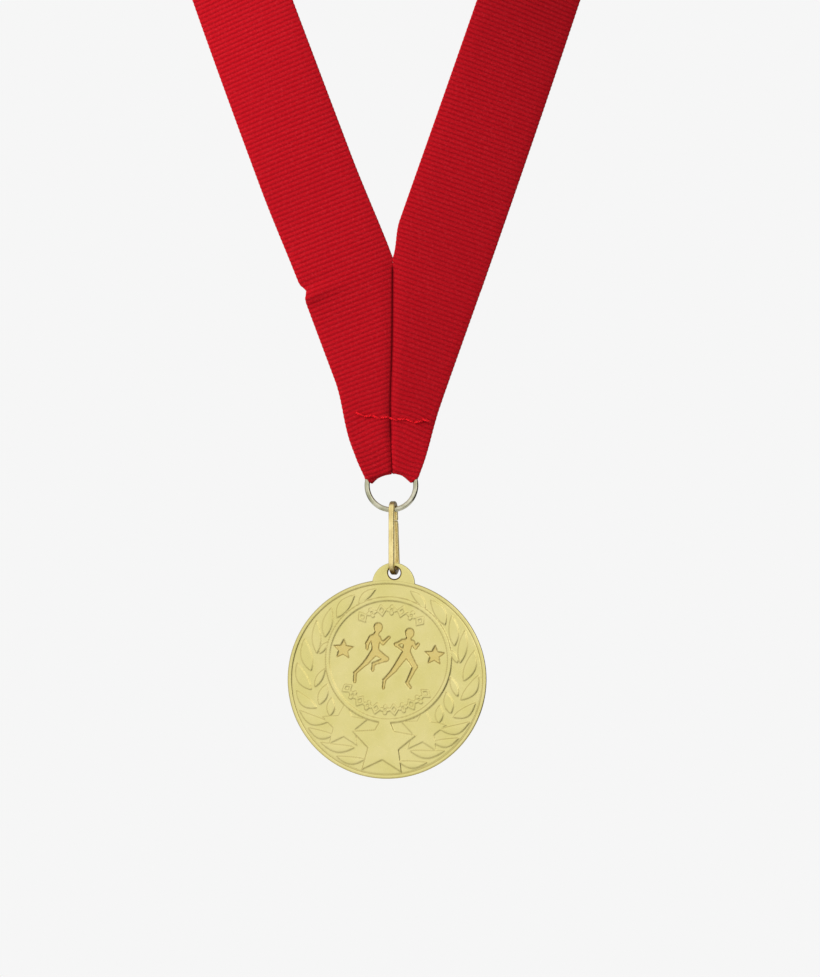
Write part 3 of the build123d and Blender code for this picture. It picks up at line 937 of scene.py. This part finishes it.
def add_ear(shell):
    """The ear: a flat plate about its bevelled hole, with rounded edges."""
    steps = 192
    angle = np.arange(steps) * 2 * math.pi / steps
    ux, uz = np.sin(angle), np.cos(angle)
    offset = HOLE_HEIGHT - EAR_HEIGHT
    on_ear = -offset * uz + np.sqrt(EAR_RADIUS**2 - (offset * ux) ** 2)
    buried = 21.9
    under = HOLE_HEIGHT**2 * uz**2 - (HOLE_HEIGHT**2 - buried**2)
    hits = (uz < 0) & (under > 0)
    on_disc = np.where(hits, -HOLE_HEIGHT * uz - np.sqrt(np.maximum(under, 0)), 99.0)
    reach = np.minimum(on_ear, on_disc)
    mouth = HOLE_RADIUS + HOLE_BEVEL
    bore = np.full(steps, HOLE_RADIUS)
    edge = 0.3
    rows = []
    for side in (-1, 1):
        half = [
            (bore, 0.35), (bore, 0.72), (bore + 0.03, 0.79), (bore + HOLE_BEVEL - 0.03, 0.975),
            (bore + HOLE_BEVEL + 0.05, 1.0), (mouth + (reach - edge - mouth) * 0.5, 1.0),
            (reach - edge, 1.0), (reach - edge * 0.62, 0.977), (reach - edge * 0.29, 0.91),
            (reach - edge * 0.08, 0.81), (reach, 0.7), (reach, 0.25),
        ]
        rows += [(r, side * y) for r, y in (half if side < 0 else half[::-1])]
    points = [np.stack([r * ux, np.full(steps, y), HOLE_HEIGHT + r * uz], -1) for r, y in rows]
    number = np.arange(len(rows) * steps).reshape(len(rows), steps)
    faces = []
    for a, b in zip(number, np.roll(number, -1, 0)):
        faces += strip_faces(np.append(a, a[0]), np.append(b, b[0]))
    # Painted shade: the hole's bore and bevel are darkened
    wear_and_painted_shade = np.array([0.9 if np.max(r) < mouth + 0.01 else 0.0 for r, _ in rows])
    shell.add(place_disc(np.array(points)), faces, sunk=0.0, crease=np.repeat(wear_and_painted_shade, steps))


def make_medal(material):
    """The whole stamping: the disc with its relief, and the ear."""
    shell = Shell()
    add_disc(shell)
    add_ear(shell)
    return shell.build("medal_stamping", material)


# ---- materials

def gold_material():
    """Satin pale gold plate, warm in its sunk figures, with painted shade on its steep walls, its outer
    edge and in the ear's hole.
    """
    made, tree, shader = new_material("medal_gold", Metallic=1.0, IOR=1.45)
    place = object_place(tree)
    broad = noise_node(tree, place, 160.0, 4.0)
    fine = noise_node(tree, place, 2600.0, 4.0, 0.65)
    speck = noise_node(tree, place, 5200.0, 2.0)
    cloudy = value_range(tree, broad, 0.35, 0.65, 0.0, 1.0)
    base = colour_mix(tree, cloudy, (0.735, 0.655, 0.245, 1), (0.79, 0.70, 0.30, 1))
    sunk = attribute_value(tree, "sunk")
    warm = math_node(tree, "MULTIPLY", sunk, value_range(tree, speck, 0.42, 0.6, 0.35, 0.75))
    warmed = colour_mix(tree, warm, base, (0.74, 0.55, 0.17, 1))
    patchy = value_range(tree, fine, 0.3, 0.7, 0.7, 0.95)
    # Painted shade: the stamping's shade attribute darkens the base colour to brown
    crease = math_node(tree, "MULTIPLY", attribute_value(tree, "crease"), patchy)
    wear_and_painted_shade = colour_mix(tree, crease, warmed, (0.20, 0.105, 0.012, 1))
    tree.links.new(wear_and_painted_shade, shader.inputs["Base Color"])
    rough = value_range(tree, fine, 0.3, 0.7, 0.25, 0.4)
    rough = math_node(tree, "ADD", rough, math_node(tree, "MULTIPLY", sunk, 0.12))
    tree.links.new(rough, shader.inputs["Roughness"])
    bump_chain(tree, shader, [(fine, 0.25, 0.00003), (broad, 0.15, 0.0002)])
    return made


def link_material():
    """Gold-plated wire, dark brown towards its top bend and its foot, where it meets the ring and the
    ear, with fine drawn lines.
    """
    made, tree, shader = new_material("link_gold", Metallic=1.0, IOR=1.45)
    place = object_place(tree)
    stretched = add_node(tree, "ShaderNodeMapping", Vector=place, Scale=(4200.0, 4200.0, 260.0))
    streak = stretched.outputs[0]
    drawn = noise_node(tree, streak, 1.0, 3.0)
    patch = noise_node(tree, place, 420.0, 4.0, 0.6)
    tint = colour_mix(
        tree, value_range(tree, patch, 0.38, 0.68, 0.0, 1.0), (0.97, 0.82, 0.38, 1), (0.76, 0.60, 0.24, 1)
    )
    uneven = value_range(tree, patch, 0.3, 0.6, 0.6, 1.0)
    # Darker brown towards the link's top bend and foot
    rubbed = math_node(tree, "MULTIPLY", attribute_value(tree, "rubbed"), uneven)
    tint = colour_mix(tree, rubbed, tint, (0.11, 0.06, 0.015, 1))
    lines = value_range(tree, drawn, 0.4, 0.7, 0.0, 0.2)
    tint = colour_mix(tree, lines, tint, (0.34, 0.23, 0.08, 1))
    tree.links.new(tint, shader.inputs["Base Color"])
    tree.links.new(value_range(tree, drawn, 0.3, 0.7, 0.22, 0.42), shader.inputs["Roughness"])
    bump_chain(tree, shader, [(drawn, 0.15, 0.00003), (patch, 0.1, 0.00006)])
    return made


def ring_material():
    """Pale nickel wire with darker patches, and a darker tint towards its left side."""
    made, tree, shader = new_material("ring_nickel", Metallic=1.0, IOR=1.5)
    place = object_place(tree)
    patch = noise_node(tree, place, 380.0, 4.0, 0.6)
    fine = noise_node(tree, place, 3600.0, 3.0)
    tint = colour_mix(
        tree, value_range(tree, patch, 0.35, 0.68, 0.0, 1.0), (0.74, 0.71, 0.56, 1), (0.42, 0.41, 0.27, 1)
    )
    # A darker tint towards the wire's left side, fading out just left of the ring's middle
    across = add_node(tree, "ShaderNodeSeparateXYZ", Vector=place).outputs["X"]
    centre = float(RING_CENTRE[0])
    darker_left_side = value_range(tree, across, centre - 5.2 * MM, centre - 1.5 * MM, 1.0, 0.0)
    darker_left_side = math_node(tree, "MULTIPLY", darker_left_side, value_range(tree, patch, 0.3, 0.55, 0.1, 0.4))
    tint = colour_mix(tree, darker_left_side, tint, (0.26, 0.27, 0.14, 1))
    tree.links.new(tint, shader.inputs["Base Color"])
    tree.links.new(value_range(tree, fine, 0.3, 0.7, 0.07, 0.16), shader.inputs["Roughness"])
    bump_chain(tree, shader, [(fine, 0.2, 0.00003), (patch, 0.15, 0.0001)])
    return made


def woven_height(tree, along, across):
    """Fine warp threads over the ribs: raised where each thread passes over a rib."""
    warp = math_node(tree, "SINE", math_node(tree, "MULTIPLY", across, 2 * math.pi / WARP_PITCH))
    weft = math_node(tree, "SINE", math_node(tree, "MULTIPLY", along, 2 * math.pi / WEFT_PITCH))
    return math_node(tree, "ADD", warp, math_node(tree, "MULTIPLY", weft, 0.45))


def grosgrain_material():
    """Red ribbed ribbon: fine warp threads, painted shade in the rib valleys and the seam's fold, painted
    highlights on the rib crests and thread tops, painted glints and a soft sheen.
    """
    made, tree, shader = new_material(
        "red_grosgrain", Sheen_Weight=0.03, Sheen_Roughness=0.45, Specular_IOR_Level=0.05,
    )
    shader.inputs["Sheen Tint"].default_value = (1.0, 0.2, 0.22, 1)
    place = object_place(tree)
    along, across = attribute_value(tree, "along"), attribute_value(tree, "across")
    weave = woven_height(tree, along, across)
    fuzz = noise_node(tree, place, 3200.0, 4.0, 0.7)
    broad = noise_node(tree, place, 45.0, 3.0)
    # Painted shade and highlight: the valleys between ribs darker and the crests lighter, as light falls
    # across the ribs
    phase = math_node(tree, "MULTIPLY", along, math.pi / RIB_PITCH)
    rib = math_node(tree, "ABSOLUTE", math_node(tree, "SINE", phase))
    painted_rib_shade = value_range(tree, rib, 0.1, 0.9, 0.0, 1.0)
    red = colour_mix(tree, painted_rib_shade, (0.25, 0.0015, 0.005, 1), (0.48, 0.0035, 0.010, 1))
    # Painted highlight: lighter red on the raised tops of the woven threads
    threads = value_range(tree, weave, -1.3, 1.3, 0.0, 0.3)
    red = colour_mix(tree, threads, red, (0.58, 0.012, 0.02, 1))
    red = colour_mix(tree, value_range(tree, fuzz, 0.35, 0.75, 0.0, 0.4), red, (0.27, 0.003, 0.007, 1))
    # Painted glints: small pale specks of highlight on the ribbon
    painted_glint = noise_node(tree, place, 2600.0, 5.0, 0.75)
    red = colour_mix(tree, value_range(tree, painted_glint, 0.5, 0.72, 0.0, 0.45), red, (0.70, 0.035, 0.05, 1))
    # Painted shade in the centre seam's fold darkens the red
    seam = attribute_value(tree, "seam")
    red = colour_mix(tree, seam, red, (0.12, 0.0008, 0.003, 1))
    red = colour_mix(tree, value_range(tree, broad, 0.3, 0.7, 0.0, 0.25), red, (0.36, 0.004, 0.010, 1))
    tree.links.new(red, shader.inputs["Base Color"])
    tree.links.new(value_range(tree, fuzz, 0.3, 0.7, 0.62, 0.82), shader.inputs["Roughness"])
    bump_chain(tree, shader, [(weave, 0.35, 0.00004), (fuzz, 0.4, 0.00006)])
    return made


def thread_material():
    """Bright red twisted thread."""
    made, tree, shader = new_material("red_thread", Specular_IOR_Level=0.15)
    place = object_place(tree)
    fuzz = noise_node(tree, place, 4200.0, 4.0, 0.7)
    along = attribute_value(tree, "along")
    twist = math_node(tree, "SINE", math_node(tree, "MULTIPLY", along, 2 * math.pi / FIBRE_PITCH))
    wear_and_painted_shade = value_range(tree, fuzz, 0.3, 0.7, 0.0, 1.0)
    red = colour_mix(tree, wear_and_painted_shade, (0.86, 0.010, 0.020, 1), (0.62, 0.005, 0.012, 1))
    tree.links.new(red, shader.inputs["Base Color"])
    tree.links.new(value_range(tree, fuzz, 0.3, 0.7, 0.45, 0.65), shader.inputs["Roughness"])
    bump_chain(tree, shader, [(twist, 0.3, 0.00004), (fuzz, 0.3, 0.00004)])
    return made


def floor_material():
    """Matt pale grey, faintly mottled."""
    made, tree, shader = new_material("pale_floor", Roughness=0.85)
    grain = noise_node(tree, object_place(tree), 60.0, 3.0)
    pale = colour_mix(tree, grain, (0.66, 0.66, 0.66, 1), (0.70, 0.70, 0.70, 1))
    tree.links.new(pale, shader.inputs["Base Color"])
    return made


# ---- camera, light and floor

CAMERA_PLACE = (4.2, -615.0, -0.7)
CAMERA_LENS = 100.0
LIGHTS = (                          # name, place, size, watts, seen in reflections
    ("key", (-700, -380, 260), 420, 6.5, False),
    ("fill", (520, -560, 120), 520, 0.7, True),
    ("rear", (120, 640, 380), 520, 2.0, False),
)
AIM = (0, 0, -10)
SURROUND = 0.922                    # the plain backdrop
FLOOR_Z = -180.0
FLOOR_Y = 60.0
FLOOR_RADIUS = 260.0


def make_camera():
    """A long lens well in front of the medal, level with the jump ring."""
    data = bpy.data.cameras.new("camera")
    data.sensor_fit = "VERTICAL"
    data.sensor_height = 36.0
    data.lens = CAMERA_LENS
    camera = bpy.data.objects.new("camera", data)
    camera.location = to_frame(CAMERA_PLACE)
    camera.rotation_euler = (math.radians(90), 0, 0)
    bpy.context.scene.collection.objects.link(camera)
    bpy.context.scene.camera = camera


def make_world():
    """A plain pale backdrop; the metal mirrors a surround lit from ahead, upper left and behind."""
    world = bpy.data.worlds.new("studio")
    world.use_nodes = True
    tree = world.node_tree
    tree.nodes.clear()
    out = tree.nodes.new("ShaderNodeOutputWorld")
    direction = add_node(tree, "ShaderNodeTexCoord").outputs["Generated"]
    toward = add_node(
        tree, "ShaderNodeVectorMath", {"operation": "DOT_PRODUCT"}, i0=direction, i1=(-0.45, -0.62, 0.64),
    )
    shade = value_range(tree, toward.outputs["Value"], -0.35, 0.5, 0.04, 0.99)
    path = tree.nodes.new("ShaderNodeLightPath")
    eased = math_node(tree, "MULTIPLY", path.outputs["Is Diffuse Ray"], 0.3)
    softened = math_node(tree, "SUBTRACT", 1.0, eased)
    behind = add_node(tree, "ShaderNodeSeparateXYZ", Vector=direction).outputs["Y"]
    shade = math_node(tree, "MAXIMUM", shade, value_range(tree, behind, 0.5, 0.8, 0.0, 0.5))
    shade = math_node(tree, "MULTIPLY", shade, softened)
    studio = add_node(tree, "ShaderNodeBackground", Color=(1, 1, 1, 1), Strength=shade)
    plain = add_node(tree, "ShaderNodeBackground", Color=(SURROUND, SURROUND, SURROUND, 1), Strength=1.0)
    mixed = add_node(
        tree, "ShaderNodeMixShader", i0=path.outputs["Is Camera Ray"], i1=studio.outputs[0],
        i2=plain.outputs[0],
    )
    tree.links.new(mixed.outputs[0], out.inputs["Surface"])
    bpy.context.scene.world = world
    bpy.context.scene.view_settings.view_transform = "Standard"


def make_light(name, place, size, power, mirrored):
    """A soft square light aimed at the medal."""
    data = bpy.data.lights.new(name, "AREA")
    data.shape = "SQUARE"
    data.size = size * MM
    data.energy = power
    light = bpy.data.objects.new(name, data)
    light.location = to_frame(place)
    aim = Vector(to_frame(AIM)) - light.location
    light.rotation_euler = aim.to_track_quat("-Z", "Y").to_euler()
    light.visible_glossy = mirrored
    bpy.context.scene.collection.objects.link(light)


def make_floor():
    """A pale round floor below the hanging medal."""
    radius, steps = FLOOR_RADIUS, 96
    shell = Shell()
    profile = [
        (0.0, 0.0), (radius - 6, 0.0), (radius - 1.5, -0.6), (radius, -3.0), (radius, -8.0), (0.0, -8.0),
    ]
    angle = np.arange(steps) * 2 * math.pi / steps
    points = [
        np.stack([r * np.cos(angle), r * np.sin(angle) + FLOOR_Y, np.full(steps, FLOOR_Z + z)], 1)
        for r, z in profile
    ]
    number = np.arange(len(profile) * steps).reshape(len(profile), steps)
    faces = []
    for a, b in zip(number, number[1:]):
        faces += strip_faces(np.append(a, a[0]), np.append(b, b[0]))
    shell.add(np.concatenate(points), faces)
    shell.build("floor", floor_material())


# ---- the scene

make_camera()
make_world()
for light_values in LIGHTS:
    make_light(*light_values)
make_floor()

ribbon = make_ribbon(grosgrain_material())
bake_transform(ribbon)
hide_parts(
    "ribbon_front", "ribbon_ring_fold", "ribbon_tail", "ribbon_left_strap", "ribbon_right_strap",
    "ribbon_left_shoulder", "ribbon_right_shoulder", "ribbon_neck_band",
)

stitches = make_stitches(thread_material())
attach(stitches, "ribbon")
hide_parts("ribbon_stitching")

wire = make_ring(ring_material())
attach(wire, "ring")
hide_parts("jump_ring")

link = make_link(link_material())
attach(link, "link")
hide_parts("hanger_link")

medal = make_medal(gold_material())
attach(medal, "medal")
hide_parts("medal_disc")
